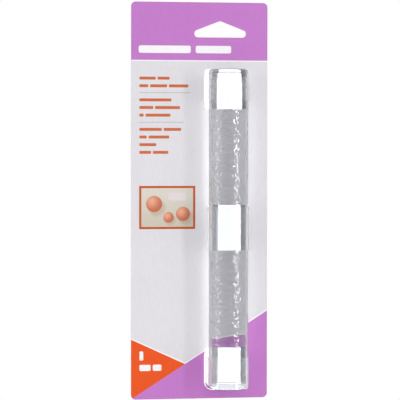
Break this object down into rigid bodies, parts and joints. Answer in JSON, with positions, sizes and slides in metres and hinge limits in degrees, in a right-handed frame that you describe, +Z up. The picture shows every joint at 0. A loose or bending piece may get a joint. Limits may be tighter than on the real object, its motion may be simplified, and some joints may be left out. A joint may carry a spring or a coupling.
{
  "type": "acrylic clay roller",
  "caption": "Solid clear acrylic rod for rolling out clay, in a clear film sleeve, held by clear straps and an end cup on a flat hang card with windows and a peg hole.",
  "frame": {"origin": "apex of the hang hole, on the glue line between the card's two sheets, where a peg bears", "axes": "+Z up along the card and the roller, +X to the right seen from the printed front, +Y out of the card's back; the printed front and the roller face -Y"},
  "size_m": [0.089, 0.0273, 0.255],
  "materials": {
    "printed_card": "printed, satin varnish",
    "plain_card": "uncoated white board",
    "clear_acrylic": "polished clear acrylic",
    "clear_film": "thin clear film, slightly crinkled",
    "clear_sheet": "clear glossy plastic sheet"
  },
  "bodies": {
    "card_pack": {"front_card": "printed_card", "back_card": "plain_card", "top_strap": "clear_sheet", "middle_clip": "clear_sheet", "bottom_cup": "clear_sheet"},
    "sleeve": {"film_sleeve": "clear_film"},
    "roller": {"clay_roller": "clear_acrylic"}
  },
  "joints": [
    {"name": "roller_draw", "type": "slide", "parent": "card_pack", "child": "sleeve", "axis": [0, 0, 1], "range_m": [0, 0.181]},
    {"name": "roller_spin", "type": "hinge", "parent": "sleeve", "child": "roller", "pos_m": [0.0031, -0.01338, -0.13275], "axis": [0, 0, 1], "continuous": true}
  ]
}
